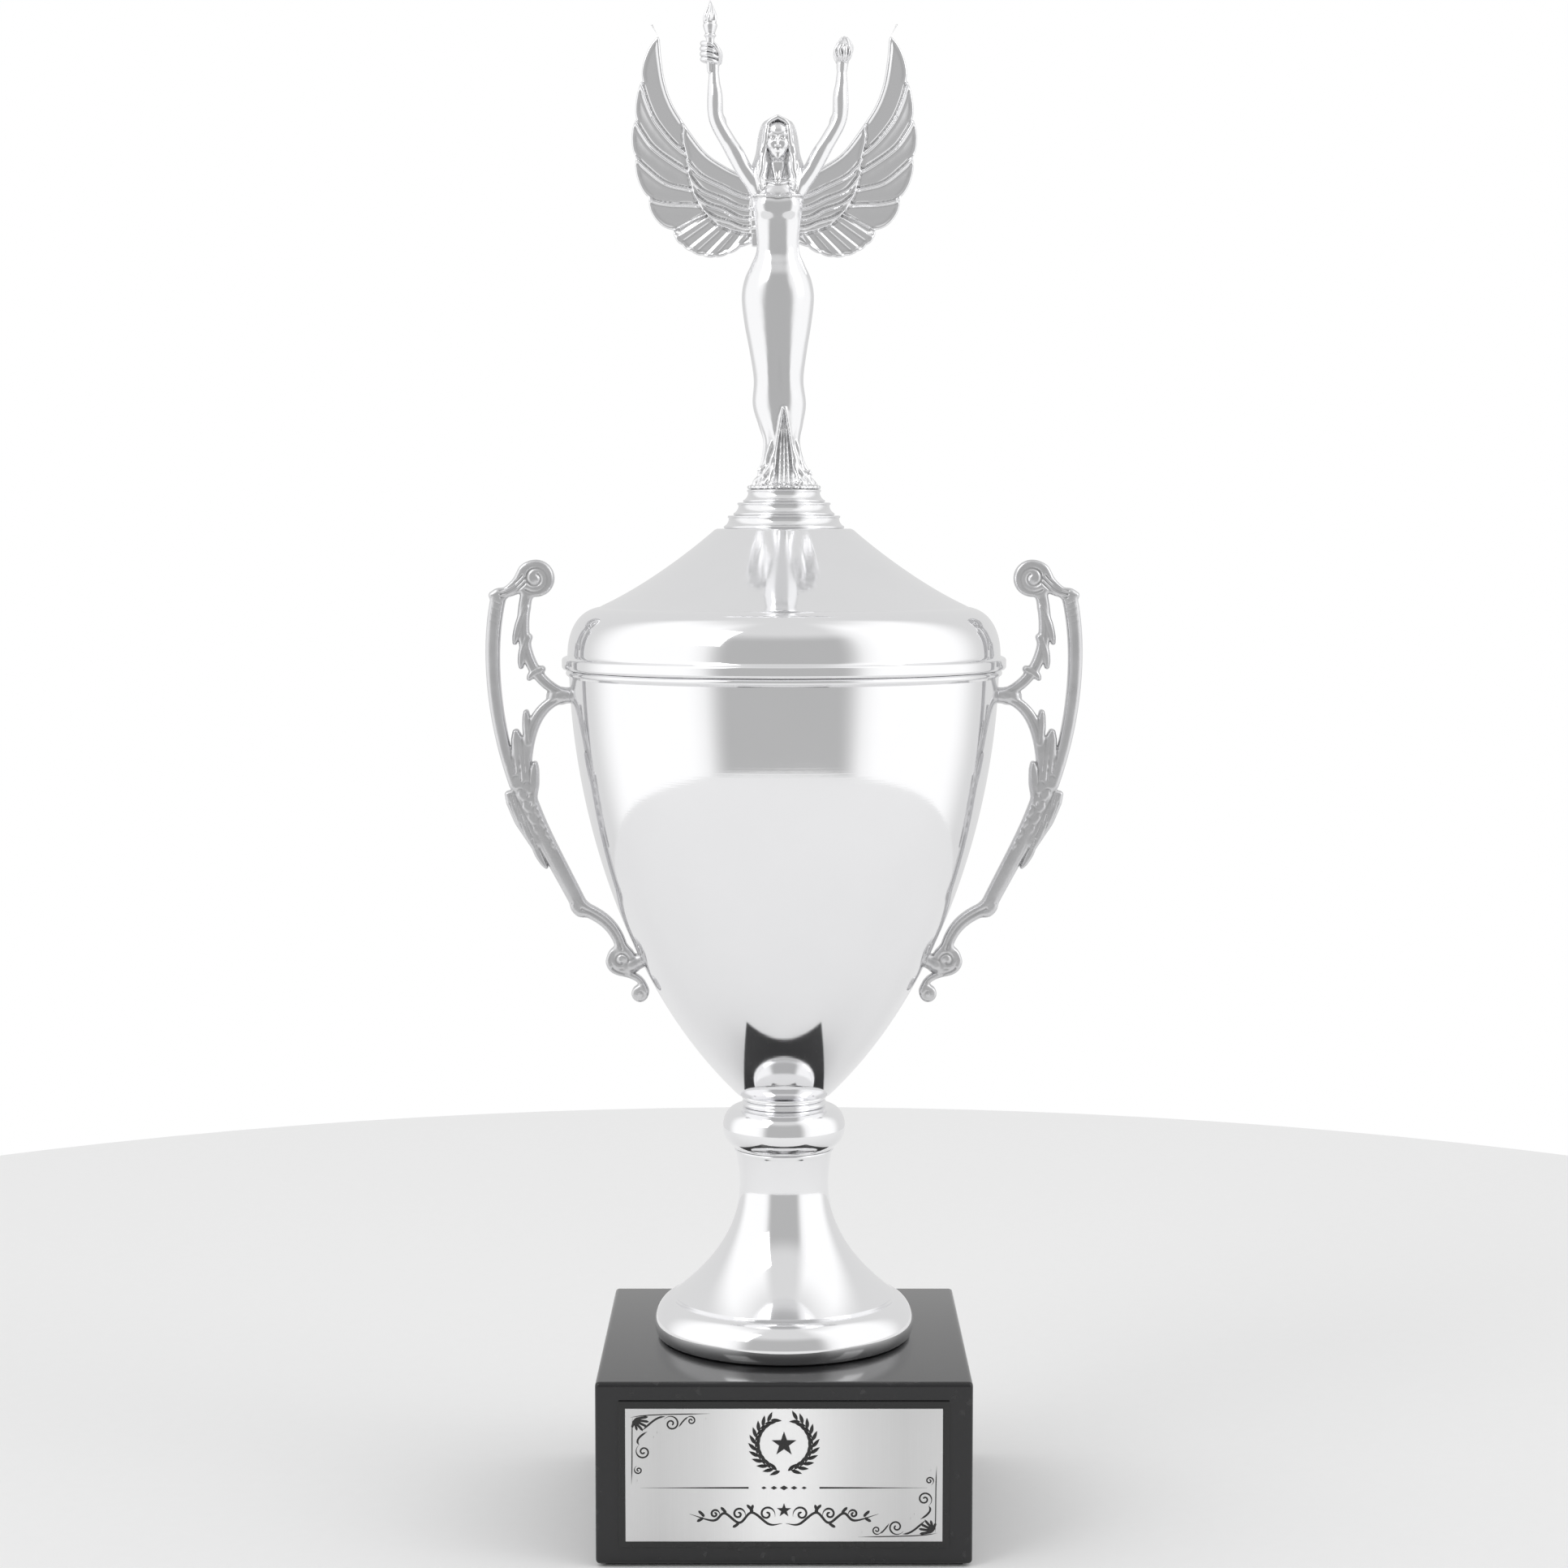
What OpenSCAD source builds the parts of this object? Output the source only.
// Covered two-handled cup trophy with a winged figure on the lid, on a polished stone base.
// Millimetres, +Z up, the plate and the figure face -Y, and +X is to the right seen from the front.
// The origin is the middle of the felt's underside.

/* [Base] */
// Width of the stone base
base_w = 101.6; // [90:0.1:125]
// Depth of the stone base
base_d = 101.6; // [90:0.1:125]
// Height of the stone base
base_h = 50; // [40:0.1:62]
// Bevel on the stone's edges
base_bevel = 1.4; // [0.6:0.1:3]
// Thickness of the felt under the stone
felt_t = 0.8; // [0.6:0.1:2]
// How far the felt stays inside the stone's edge
felt_inset = 2.5; // [1:0.1:5]

/* [Plate] */
// Stone left showing beside the dark border plate
side_inset = 6.3; // [4:0.1:14]
// Stone left showing above and below the dark border plate
edge_inset = 4.9; // [4:0.1:8]
// Thickness of the dark border plate
border_t = 0.8; // [0.6:0.1:1.5]
// Dark margin left showing round the bright plate
margin = 1.9; // [1:0.1:4]
// Thickness of the bright plate
plate_t = 0.5; // [0.4:0.1:1]

/* [Pedestal] */
// Widest radius of the pedestal's foot
foot_r = 36.8; // [30:0.1:44]
// Height from the stone to the top of the pedestal's neck
pedestal_h = 53.6; // [44:0.1:66]
// Radius of the pedestal's neck at its top
neck_r = 13.9; // [12:0.1:15]
// Wall of the spun parts
wall = 0.9; // [0.7:0.1:1.2]
// Widest radius of the knop
knop_r = 17.3; // [15.5:0.1:21]
// Height of the knop
knop_h = 12; // [10:0.1:15]
// Height of the beaded collar between knop and bowl
collar_h = 3.6; // [3:0.1:5]

/* [Bowl] */
// Outer radius of the bowl at its rim
bowl_r = 60; // [50:0.1:72]
// Height of the bowl
bowl_h = 120; // [100:0.1:144]
// Radius of the bowl's flat bottom
bowl_foot_r = 13.2; // [12.4:0.1:16]

/* [Lid] */
// How far the lid's flange stands out past the bowl's rim
lid_lip = 2; // [1.2:0.1:3]
// Height of the lid above the bowl's rim
lid_h = 39; // [32:0.1:47]
// Thickness of the lid's flange
flange_h = 3.4; // [3:0.1:4]
// How far the locating ring reaches into the bowl
plug_h = 3.6; // [2.5:0.1:4]
// Radius of the flat seat at the top of the lid
seat_r = 19; // [18.4:0.1:24]

/* [Handles] */
// Thickness of the cast handles
handle_t = 5; // [4:0.1:6.5]
// Radius of the round posts that meet the bowl
post_r = 2.3; // [2.1:0.1:2.45]

/* [Figure] */
// Radius of the figure's round plinth
plinth_r = 16.8; // [14.2:0.1:18.3]
// Height of the figure's round plinth
plinth_h = 10.8; // [10:0.1:13]
// Height of the figure from the plinth to the torch's tip
figure_h = 134; // [112:0.1:161]
// Thickness of the wings' long feathers
wing_t = 1.5; // [1.2:0.1:2]
// Angle that the wings sweep back
wing_sweep = 9; // [4:1:14]

/* [Fasteners] */
// Radius of the centre rod
rod_r = 3.2; // [2.6:0.1:3.9]
// Radius of the figure's threaded stud
stud_r = 2.5; // [2:0.1:3]
// Shank radius of the handle screws
screw_r = 1.5; // [1.2:0.1:1.7]

/* [Hidden] */
$fn = 72;
eps = 0.01;
hole_clear = 0.2;   // radial clearance of a bolt hole
turn_clear = 0.1;   // radial clearance round the stud, which can turn
seat_gap = 0.1;     // gap between the bowl's rolled rim and the lid's flange
ring_clear = 0.5;   // radial clearance of the locating ring in the bowl
curved_gap = 0.1;   // a flat washer bridges the curved wall by this
peg_clear = 0.05;   // radial clearance of a glued peg
steps = 28;         // straight pieces in a long curve

stone_z = felt_t;
stone_top = stone_z + base_h;
knop_z = stone_top + pedestal_h;
collar_z = knop_z + knop_h;
bowl_z = collar_z + collar_h;
rim_z = bowl_z + bowl_h;
lid_z = rim_z + seat_gap;
lid_top = lid_z + lid_h;
plinth_top = lid_top + plinth_h;
k = figure_h / 134; // every size of the figure is given for a height of 134

rod_sink = rod_r * 4.4;            // depth of the recess under the stone
rod_washer_r = rod_r * 3;
washer_t = 1.4;
nut_h = rod_r * 1.6;
rod_nut_r = rod_r * 2;
floor_t = 1.4;
rod_top = bowl_z + floor_t + washer_t + nut_h + 2.5;
stud_nut_r = stud_r * 1.9;
stud_nut_h = stud_r * 1.6;
stud_washer_r = stud_r * 2.6;
stud_depth = 6;
figure_peg_r = 3;
figure_peg_h = 2.8;
rim_bead = 0.9;
screw_head_r = screw_r * 1.75;
screw_head_h = screw_r * 1.1;
screw_bite = 4.5;
screw_washer_r = screw_r * 1.9;
screw_washer_t = 0.6;
// Where the posts meet the bowl's curve, from 0 at the rim to 1 at the bottom. The screw's washer
// stays below the lid's locating ring.
upper_post = (plug_h + screw_washer_r + 0.8) / bowl_h;
lower_post = 0.645;

// A cubic curve p, of four points, and its direction, at t from 0 to 1
function at(p, t) = pow(1 - t, 3) * p[0] + 3 * pow(1 - t, 2) * t * p[1] + 3 * (1 - t) * t * t * p[2]
    + pow(t, 3) * p[3];
function along(p, t) = let (d = pow(1 - t, 2) * (p[1] - p[0]) + 2 * (1 - t) * t * (p[2] - p[1])
    + t * t * (p[3] - p[2])) d / norm(d);
// The unit vector to the left of a curve's direction
function left_of(p, t) = let (d = along(p, t)) [-d[1], d[0]];
function curve(p, n = steps) = [for (i = [0 : n]) at(p, i / n)];
// A curve moved sideways by d, to its right
function beside(p, d, n = steps) = [for (i = [0 : n]) at(p, i / n) - d * left_of(p, i / n)];
function backwards(list) = [for (i = [len(list) - 1 : -1 : 0]) list[i]];
function above(list, z) = [for (p = list) if (p[1] > z + eps) p];

// Outlines of the turned parts, as radius and height
bowl_curve = [[bowl_r, rim_z], [bowl_r * 0.988, bowl_z + bowl_h * 0.667], [bowl_r * 0.733, bowl_z + bowl_h * 0.246],
    [bowl_foot_r, bowl_z]];
crease_r = foot_r * 0.845;
crease_z = stone_top + pedestal_h * 0.222;
trumpet = [[neck_r, knop_z], [neck_r * 0.755, knop_z - pedestal_h * 0.25], [neck_r * 0.92, knop_z - pedestal_h * 0.51],
    [crease_r, crease_z]];
foot_swell = [[crease_r + 0.5, crease_z - 0.9], [crease_r + 2.2, crease_z - 0.6],
    [foot_r, stone_top + pedestal_h * 0.15], [foot_r, stone_top + pedestal_h * 0.075]];
foot_curl = [[foot_r, stone_top + pedestal_h * 0.075], [foot_r, stone_top + pedestal_h * 0.03],
    [foot_r - 0.8, stone_top], [foot_r - 2, stone_top]];
lid_r = bowl_r + lid_lip;
band_top_r = bowl_r * 0.858;
band_top_z = lid_z + lid_h * 0.442;
lid_band = [[bowl_r + 0.4, lid_z + flange_h + 1], [bowl_r + 0.3, lid_z + lid_h * 0.28],
    [bowl_r * 0.957, lid_z + lid_h * 0.42], [band_top_r, band_top_z]];
lid_cone = [[band_top_r - 0.9, band_top_z + 0.5], [bowl_r * 0.64, lid_z + lid_h * 0.6],
    [seat_r * 1.35, lid_z + lid_h * 0.85], [seat_r, lid_top]];
ring_r = bowl_r - wall - ring_clear;
ring_wall = 1.4;

module turned(outline) { rotate_extrude($fn = 96) polygon(outline); }

// Base

module felt_pad() {
    color("#1c1c1e") translate([felt_inset - base_w / 2, felt_inset - base_d / 2, 0])
        cube([base_w - 2 * felt_inset, base_d - 2 * felt_inset, felt_t]);
}

// A block whose twelve edges are bevelled
module bevelled(w, d, h, b) {
    intersection() {
        linear_extrude(h) corners(w, d, b);
        translate([0, d / 2, 0]) rotate([90, 0, 0]) linear_extrude(d) translate([0, h / 2]) corners(w, h, b);
        translate([-w / 2, 0, 0]) rotate([90, 0, 90]) linear_extrude(w) translate([0, h / 2]) corners(d, h, b);
    }
}
module corners(w, d, b) {
    polygon([[b - w / 2, -d / 2], [w / 2 - b, -d / 2], [w / 2, b - d / 2], [w / 2, d / 2 - b],
        [w / 2 - b, d / 2], [b - w / 2, d / 2], [-w / 2, d / 2 - b], [-w / 2, b - d / 2]]);
}

module stone_base() {
    color("#232325") difference() {
        translate([0, 0, stone_z]) bevelled(base_w, base_d, base_h, base_bevel);
        translate([0, 0, stone_z - 1]) cylinder(r = rod_r + hole_clear, h = base_h + 2);
        translate([0, 0, stone_z - 1]) cylinder(r = rod_washer_r + hole_clear, h = rod_sink + 1);
    }
}

border_w = base_w - 2 * side_inset;
border_h = base_h - 2 * edge_inset;
plate_mid = stone_z + base_h / 2;

// A flat plate on the front of the stone, its back at distance from the stone's face
module front_plate(w, h, t, distance) {
    translate([-w / 2, -base_d / 2 - distance - t, plate_mid - h / 2]) cube([w, t, h]);
}
module border_plate() { color("#0b0b0c") front_plate(border_w, border_h, border_t, 0); }
module award_plate() {
    color("#cfcfd1") front_plate(border_w - 2 * margin, border_h - 2 * margin, plate_t, border_t);
}

// Pedestal and stem

module pedestal() {
    inner_z = knop_z - floor_t;
    color("#d4d5d8") turned(concat(
        curve(trumpet), curve(foot_swell, 10), curve(foot_curl, 6),
        [[foot_r - 2 - wall * 2, stone_top]], [[foot_r - 2 - wall * 2, stone_top + wall]],
        [[foot_r - wall * 1.3, stone_top + pedestal_h * 0.075]],
        [[crease_r - wall * 0.6, crease_z - wall * 2]],
        backwards([for (p = beside(trumpet, wall)) if (p[1] < inner_z - eps && p[1] > crease_z) p]),
        [[neck_r - wall * 1.8, inner_z], [rod_r + hole_clear, inner_z], [rod_r + hole_clear, knop_z]]));
}

knop_low = [[neck_r + 0.5, knop_z + 0.8], [knop_r - 1.6, knop_z + knop_h * 0.13],
    [knop_r, knop_z + knop_h * 0.28], [knop_r, knop_z + knop_h * 0.5]];
knop_high = [[knop_r, knop_z + knop_h * 0.5], [knop_r, knop_z + knop_h * 0.8],
    [knop_r - 1.8, knop_z + knop_h * 0.97], [knop_r - 4, collar_z]];

module knop() {
    color("#c9cacd") turned(concat([[rod_r + hole_clear, knop_z], [neck_r - 0.4, knop_z]],
        curve(knop_low, 12), curve(knop_high, 12), [[rod_r + hole_clear, collar_z]]));
}

module neck_collar() {
    bead = collar_h / 4;
    waist_r = bowl_foot_r - 2.2;
    color("#d4d5d8") rotate_extrude($fn = 96) {
        translate([rod_r + hole_clear, collar_z]) square([waist_r - rod_r - hole_clear, collar_h]);
        for (i = [0, 1]) {
            translate([waist_r, collar_z + bead * (1 + 2 * i)]) circle(r = bead, $fn = 24);
        }
    }
}

// Bowl

module bowl_outside() {
    turned(concat([[0, rim_z + 1], [bowl_r, rim_z + 1]], curve(bowl_curve), [[0, bowl_z]]));
}

// Puts its children at a post's place on the wall, with +Z pointing out of the bowl along the wall's normal
module at_post(t, side) {
    p = at(bowl_curve, t);
    n = left_of(bowl_curve, t);
    mirror([side < 0 ? 1 : 0, 0, 0]) translate([p[0], 0, p[1]]) rotate([0, 90 - atan2(n[1], n[0]), 0]) children();
}
module at_posts() { for (side = [-1, 1], t = [upper_post, lower_post]) at_post(t, side) children(); }

module bowl() {
    floor_z = bowl_z + floor_t;
    inside = above(beside(bowl_curve, wall), floor_z);
    color("#dcdde0") difference() {
        union() {
            turned(concat(curve(bowl_curve), [[rod_r + hole_clear, bowl_z], [rod_r + hole_clear, floor_z],
                [inside[len(inside) - 1][0] - 0.3, floor_z]], backwards(inside)));
            rotate_extrude($fn = 96) translate([bowl_r, rim_z - rim_bead]) circle(r = rim_bead, $fn = 24);
        }
        at_posts() translate([0, 0, -3]) cylinder(r = screw_r + hole_clear, h = 6, $fn = 32);
    }
}

module handle_screws() {
    under_head = wall + curved_gap + screw_washer_t;
    color("#a9abb0") at_posts() {
        translate([0, 0, -under_head - screw_head_h]) cylinder(r = screw_head_r, h = screw_head_h, $fn = 32);
        translate([0, 0, -under_head - eps]) cylinder(r = screw_r, h = under_head + screw_bite, $fn = 32);
    }
}

module handle_washers() {
    color("#b7b9bd") at_posts() translate([0, 0, -wall - curved_gap - screw_washer_t]) difference() {
        cylinder(r = screw_washer_r, h = screw_washer_t, $fn = 32);
        translate([0, 0, -1]) cylinder(r = screw_r + hole_clear, h = screw_washer_t + 2, $fn = 32);
    }
}

// Handles. Their points are given for a bowl 60 in radius whose posts are 112.7 and 35.6 above its bottom,
// and follow the bowl and its posts.

low_z = at(bowl_curve, lower_post)[1];
high_z = at(bowl_curve, upper_post)[1];
function on_handle(x, z) = [x * bowl_r / 60, low_z + (z - 35.6) * (high_z - low_z) / (112.7 - 35.6)];

// A strip along the curve through four control points, w0 wide at its start and w1 at its end
module strip(p, w0, w1, n = 12) {
    c = [for (q = p) on_handle(q[0], q[1])];
    edge = function (side) [for (i = [0 : n]) at(c, i / n) + side * (w0 + (w1 - w0) * i / n) / 2 * left_of(c, i / n)];
    polygon(concat(edge(1), backwards(edge(-1))));
}
module disc(x, z, r) { translate(on_handle(x, z)) circle(r = r, $fn = 36); }

module handle_outline() {
    disc(69.3, 146.4, 5.2);                                                    // upper scroll
    strip([[71.5, 147.6], [74.5, 143.4], [77.4, 141.8], [81.6, 141.6]], 6, 1.6); // horn
    strip([[79.6, 141.4], [82.8, 128], [82.1, 107], [75.4, 87]], 4.2, 3.2);    // outer rib
    strip([[74.6, 91], [71, 76], [65, 67], [57, 50.4]], 6, 4.4);               // lower rib
    strip([[58, 51.3], [52.4, 48.9], [47, 46.5], [45.2, 37]], 4, 3.8);         // elbow
    disc(45.9, 35.7, 4.1);                                                     // lower scroll
    strip([[48.9, 35], [48.6, 30.4], [40.2, 33.2], [39.2, 26.6]], 2, 1.8);     // tail
    disc(40.6, 25.8, 2.4);                                                     // tail's curl
    strip([[60, 112.6], [69.4, 115], [76, 126], [71.4, 143.5]], 2.8, 3.2);     // upper branch
    strip([[60, 112.4], [67.5, 111.5], [72.6, 105], [73, 88]], 2.8, 4);        // lower branch
    strip([[72.2, 137], [73.6, 134], [75, 131], [75.7, 127.6]], 3, 1, 6);      // leaves on the upper branch
    strip([[71.6, 128], [73, 125.4], [73.6, 123], [73.8, 120.4]], 3, 1, 6);
    strip([[67.6, 120], [69.6, 119.4], [70.8, 118.4], [71.4, 117.2]], 3, 1, 6);
    strip([[73.6, 88], [74, 93], [74.4, 98], [75.2, 102.6]], 5, 1.4, 6);       // leaves at the fork
    strip([[71.6, 100], [71.9, 103], [72.1, 105.6], [72.2, 108.4]], 2.6, 1.2, 6);
    strip([[71, 82], [70.6, 86], [70.1, 90], [69.9, 93.4]], 3.2, 1.2, 6);
    strip([[69.6, 70], [72.5, 75], [75.4, 80], [77.8, 84.8]], 5, 1.4, 6);      // leaf on the lower rib
}

// side is 1 for the handle at +X and -1 for the one at -X
module handle(side) {
    color("#b4b6ba") difference() {
        union() {
            mirror([side < 0 ? 1 : 0, 0, 0]) translate([0, handle_t / 2, 0]) rotate([90, 0, 0])
                linear_extrude(handle_t) handle_outline();
            for (t = [upper_post, lower_post]) at_post(t, side) translate([0, 0, -1]) cylinder(r = post_r, h = 6.4);
        }
        bowl_outside();
        for (t = [upper_post, lower_post]) at_post(t, side)
            translate([0, 0, -2]) cylinder(r = screw_r, h = screw_bite + 2.2, $fn = 32);
    }
}
module left_handle() { handle(-1); }
module right_handle() { handle(1); }

// Centre rod

module washer(r, hole, t) {
    difference() {
        cylinder(r = r, h = t);
        translate([0, 0, -1]) cylinder(r = hole, h = t + 2);
    }
}
module hex_nut(r, hole, h) {
    difference() {
        cylinder(r = r, h = h, $fn = 6);
        translate([0, 0, -1]) cylinder(r = hole, h = h + 2);
    }
}
recess_top = stone_z + rod_sink;
module centre_rod() {
    color("#9c9ea2") translate([0, 0, recess_top - washer_t - nut_h - 2])
        cylinder(r = rod_r, h = rod_top - recess_top + washer_t + nut_h + 2);
}
module rod_lower_washer() {
    color("#a9abb0") translate([0, 0, recess_top - washer_t]) washer(rod_washer_r, rod_r + hole_clear, washer_t);
}
module rod_lower_nut() {
    color("#a9abb0") translate([0, 0, recess_top - washer_t - nut_h]) hex_nut(rod_nut_r, rod_r, nut_h);
}
module rod_upper_washer() {
    color("#a9abb0") translate([0, 0, bowl_z + floor_t]) washer(rod_washer_r, rod_r + hole_clear, washer_t);
}
module rod_upper_nut() {
    color("#a9abb0") translate([0, 0, bowl_z + floor_t + washer_t]) hex_nut(rod_nut_r, rod_r, nut_h);
}

// Lid

module lid() {
    hole = stud_r + turn_clear;
    color("#dcdde0") turned(concat(
        [[ring_r, lid_z], [lid_r - 0.6, lid_z], [lid_r, lid_z + 0.6], [lid_r, lid_z + flange_h - 0.8],
            [lid_r - 0.8, lid_z + flange_h], [bowl_r + 0.2, lid_z + flange_h + 0.2]],
        curve(lid_band, 16), curve(lid_cone, 20),
        [[hole, lid_top], [hole, lid_top - wall], [seat_r - wall, lid_top - wall]],
        backwards([for (p = beside(lid_cone, -wall, 20)) if (p[1] < lid_top - wall - eps) p]),
        backwards([for (p = beside(lid_band, -wall, 16)) if (p[1] > lid_z + flange_h + 1.2) p]),
        [[ring_r, lid_z + flange_h]]));
}

module lid_ring() {
    color("#c2c3c6") translate([0, 0, lid_z - plug_h]) difference() {
        cylinder(r = ring_r, h = plug_h + flange_h, $fn = 96);
        translate([0, 0, -1]) cylinder(r = ring_r - ring_wall, h = plug_h + flange_h + 2, $fn = 96);
    }
}

module stud_washer() {
    color("#a9abb0") translate([0, 0, lid_top - wall - washer_t]) washer(stud_washer_r, stud_r, washer_t);
}
module stud_nut() {
    color("#a9abb0") translate([0, 0, lid_top - wall - washer_t - stud_nut_h])
        hex_nut(stud_nut_r, stud_r, stud_nut_h);
}
module figure_stud() {
    below = wall + washer_t + stud_nut_h + 1.5;
    color("#9c9ea2") translate([0, 0, lid_top - below]) cylinder(r = stud_r, h = below + stud_depth);
}

// Figure. Sizes are for a height of 134 and are multiplied by k.

module figure_plinth() {
    tier = plinth_h / 3;
    step = plinth_r * 0.16;     // each tier is this much smaller than the one below
    flare = 1.3;                // and spreads by this much towards its foot
    color("#c9cacd") difference() {
        turned(concat([[0, lid_top]], [for (i = [0 : 2]) let (r = plinth_r - i * step, z = lid_top + i * tier)
            each [[r - 0.3, z], [r, z + 0.4], [r - flare, z + tier - 0.5], [r - flare - 0.3, z + tier]]],
            [[0, plinth_top]]));
        translate([0, 0, lid_top - 1]) cylinder(r = stud_r, h = stud_depth + 1);
        translate([0, 0, plinth_top - figure_peg_h])
            cylinder(r = figure_peg_r + peg_clear, h = figure_peg_h + 1);
    }
}

// A closed skin through level ovals, each [height, middle x, middle y, half width, half depth]
module loft(ovals, sides = 24) {
    points = [for (o = ovals, i = [0 : sides - 1]) let (a = 360 * i / sides)
        k * [o[1] + o[3] * cos(a), o[2] + o[4] * sin(a), o[0]]];
    last = len(ovals) - 1;
    faces = concat([[for (i = [0 : sides - 1]) i]], [[for (i = [sides - 1 : -1 : 0]) last * sides + i]],
        [for (j = [0 : last - 1], i = [0 : sides - 1]) let (n = (i + 1) % sides)
            [j * sides + i, (j + 1) * sides + i, (j + 1) * sides + n, j * sides + n]]);
    translate([0, 0, plinth_top]) polyhedron(points, faces, convexity = 4);
}

lean = -1.7;            // the figure's upper half stands this far to one side of the plinth's middle
shoulder_x = 6.2;       // where the arms meet the body
wing_d = wing_t + 0.9;  // the wings' thickness where the short feathers lie on the long ones
wing_shift = 1;         // the wings' tips stand this far to the figure's right
wing_seat_y = 3.4;      // the flat on the back that the wings are glued to
wing_seat_low = 67;     // and its lowest and highest level
wing_seat_high = 84;

body_ovals = [[0, 0, 0, 9.7, 7.6], [2.2, 0, 0, 8.4, 6.8], [5, -0.3, 0, 6.5, 5.6], [12.7, -0.7, 0, 5, 4.5],
    [18, -1, 0.2, 6.2, 5.3], [23.6, -1.3, 0.3, 7.4, 6.1], [30.4, -1.5, 0, 6.9, 6], [38, -1.6, -0.2, 7.9, 6.6],
    [46, -1.7, 0, 9.3, 7.2], [53, lean, 0.2, 10, 7.5], [58, lean, 0.2, 9.2, 7], [62, lean, 0, 7.4, 5.8],
    [66, lean, -0.2, 5.9, 4.7], [72, lean, -0.6, 6.2, 5], [77, lean, -1, 6.9, 5.6], [81, lean, -0.4, 7.2, 4.9],
    [84.4, lean, 0, 7, 3.6]];
head_ovals = [[85.6, lean, 0.6, 6.6, 3.2], [89, lean, 0.6, 6.2, 3.8], [92, lean, 0.2, 5.2, 4.6],
    [95, lean, 0, 4.9, 4.9], [99, lean, 0, 4.4, 4.8], [101.6, lean, 0, 3, 3.4], [102.7, lean, 0, 1, 1.2]];

module figure_body() {
    shoulder = k * (shoulder_x - lean);
    color("#d4d5d8") union() {
        difference() {
            loft(concat(body_ovals, head_ovals));
            for (side = [-1, 1]) translate([k * lean, 0, plinth_top + k * 74]) mirror([side < 0 ? 1 : 0, 0, 0]) {
                translate([k * shoulder_x, -k * 10, 0]) cube(k * [10, 20, 16]);
                translate([k * shoulder_x - 2, 0, k * 7]) rotate([0, 90, 0])
                    cylinder(r = k * 1.1 + peg_clear, h = 6, $fn = 24);
            }
            translate([-k * 20, k * wing_seat_y, plinth_top + k * wing_seat_low])
                cube(k * [40, 10, wing_seat_high - wing_seat_low]);
            at_wing_pegs() cylinder(r = k * 0.9 + peg_clear, h = k * 4, center = true, $fn = 24);
        }
        translate([0, 0, plinth_top - figure_peg_h + 0.2]) cylinder(r = figure_peg_r, h = figure_peg_h);
    }
}

// Arms: a chain of balls [x, y, height, radius] in the figure's middle frame, joined by tapered lengths
module limb(balls) {
    for (i = [0 : len(balls) - 2]) hull() for (b = [balls[i], balls[i + 1]])
        translate(k * [b[0], b[1], b[2]]) sphere(r = k * b[3], $fn = 20);
}
module arm(side, balls) {
    translate([k * lean, 0, plinth_top]) mirror([side < 0 ? 1 : 0, 0, 0]) {
        difference() {
            limb(balls);
            translate(k * [shoulder_x - 20, -10, 70]) cube(k * [20, 20, 30]);
        }
        translate([k * shoulder_x - 1.6, 0, k * 81]) rotate([0, 90, 0]) cylinder(r = k * 1.1, h = 3, $fn = 24);
    }
}
arm_balls = [[5, 0, 82, 2.6], [9.6, 0, 88.4, 2.4], [16.5, 0, 100.5, 2.5], [17.6, 0, 114.5, 1.6], [18, -0.2, 119.6, 2.3]];

// The figure's right arm is at -X and lifts a torch
module right_arm() {
    color("#cfd0d3") {
        arm(-1, arm_balls);
        translate([k * (lean - 18), 0, plinth_top + k * 118]) rotate_extrude($fn = 32) scale(k)
            polygon([[0, 0], [1.1, 0], [1.2, 5], [2, 7.2], [2, 9], [2.1, 11], [1.7, 13.8], [0.6, 15.8], [0, 16]]);
    }
}
// The left arm is at +X and lifts a laurel bud
module left_arm() {
    color("#cfd0d3") {
        arm(1, arm_balls);
        translate([k * (lean + 18.2), 0, plinth_top + k * 119.2]) rotate_extrude($fn = 32) scale(k)
            polygon([[0, 0], [1.4, 0.2], [2.2, 1.4], [2.2, 2.8], [1.3, 4.3], [0, 4.8]]);
    }
}

// Wings: curved feathers in the wing's own plane, x out from the body's middle and z up from the plinth.
// Each has its root, two bending points and its tip on its middle line, and then its width.
long_feathers = [[[4, 77], [22, 89], [37, 103], [31.8, 125.4], 6.6], [[4, 76], [24, 86], [36.4, 97], [37.4, 111.5], 6.8],
    [[4, 75], [24, 83], [37, 88], [39.4, 101], 7], [[4, 74], [22, 80], [37, 80], [39, 92.6], 6.6],
    [[4, 73], [20, 77], [32, 73.6], [35, 80], 6.4]];
short_feathers = [[[4, 78], [16, 86], [23, 92], [25, 100.8], 5], [[4, 76], [14, 82], [21.6, 84], [24.6, 92.6], 4.6],
    [[4, 74], [13, 79], [20, 79.5], [23.8, 86], 4.4], [[4, 73], [12, 76.6], [18, 75.6], [22, 80.4], 4]];
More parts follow.
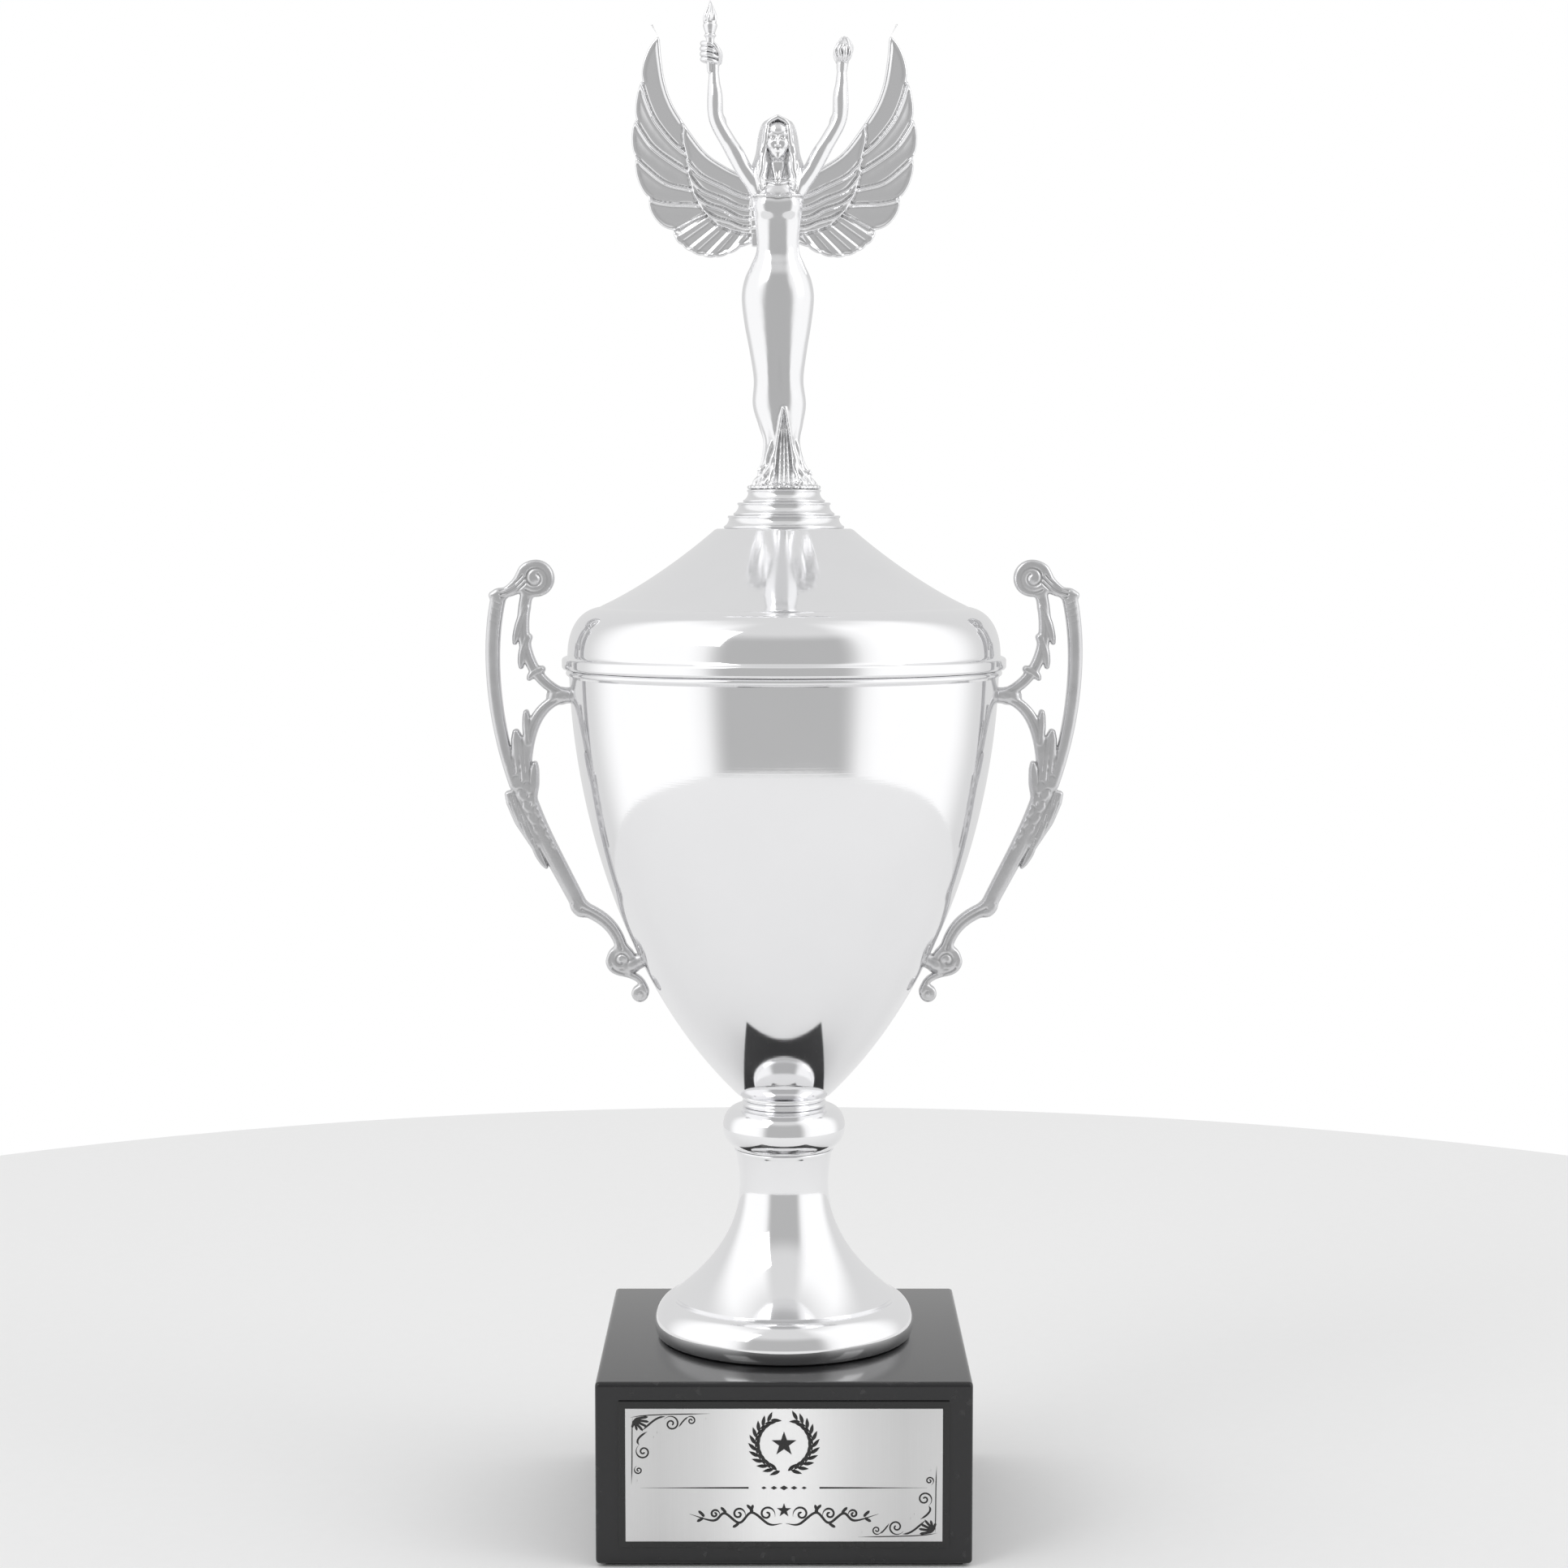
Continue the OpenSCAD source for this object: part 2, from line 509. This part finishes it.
tail_feathers = [for (i = [0 : 5]) [[4, 73.6 - i], [10, 74 - i], [18 - i, 72 - i * 0.9],
    [28.3 - i * 3.2, 70.2 - 3.2 * sqrt(i) + i * 0.3], 4.6]];

module feathers(list) {
    n = 14;
    for (f = list) {
        edge = function (side) [for (i = [0 : n]) let (t = i / n)
            at(f, t) + side * f[4] / 2 * sqrt(1.02 - pow(t, 4)) * left_of(f, t)];
        scale(k) polygon(concat(edge(1), backwards(edge(-1))));
    }
}
module at_wing_pegs() {
    for (x = [-3.4, 3.4], z = [72, 80]) translate([k * (lean + x), k * wing_seat_y, plinth_top + k * z])
        rotate([90, 0, 0]) children();
}
module wing(side) {
    color("#c6c8cc") {
        translate([k * lean, k * wing_seat_y, plinth_top]) mirror([side < 0 ? 1 : 0, 0, 0]) {
            translate(k * [0.1, 0, wing_seat_low]) cube(k * [5.7, 0, wing_seat_high - wing_seat_low] + [0, wing_d, 0]);
            translate([k * 4, 0, 0]) rotate([0, 0, wing_sweep]) translate([-k * (4 + side * wing_shift), wing_d, 0])
                difference() {
                    rotate([90, 0, 0]) union() {
                        linear_extrude(wing_t) feathers(concat(long_feathers, tail_feathers));
                        linear_extrude(wing_d) feathers(short_feathers);
                    }
                    translate(k * [-16 + side * wing_shift, -20, 0]) cube(k * [20, 40, 130]);
                }
        }
        intersection() {
            at_wing_pegs() cylinder(r = k * 0.9, h = k * 1.8, $fn = 24);
            translate([k * lean + (side < 0 ? -k * 20 : 0), -k * 20, plinth_top]) cube(k * [20, 40, 120]);
        }
    }
}
module left_wing() { wing(1); }
module right_wing() { wing(-1); }

felt_pad();
stone_base();
border_plate();
award_plate();
pedestal();
knop();
neck_collar();
bowl();
left_handle();
right_handle();
handle_screws();
handle_washers();
centre_rod();
rod_lower_washer();
rod_lower_nut();
rod_upper_washer();
rod_upper_nut();
lid();
lid_ring();
figure_plinth();
figure_body();
left_wing();
right_wing();
left_arm();
right_arm();
figure_stud();
stud_washer();
stud_nut();
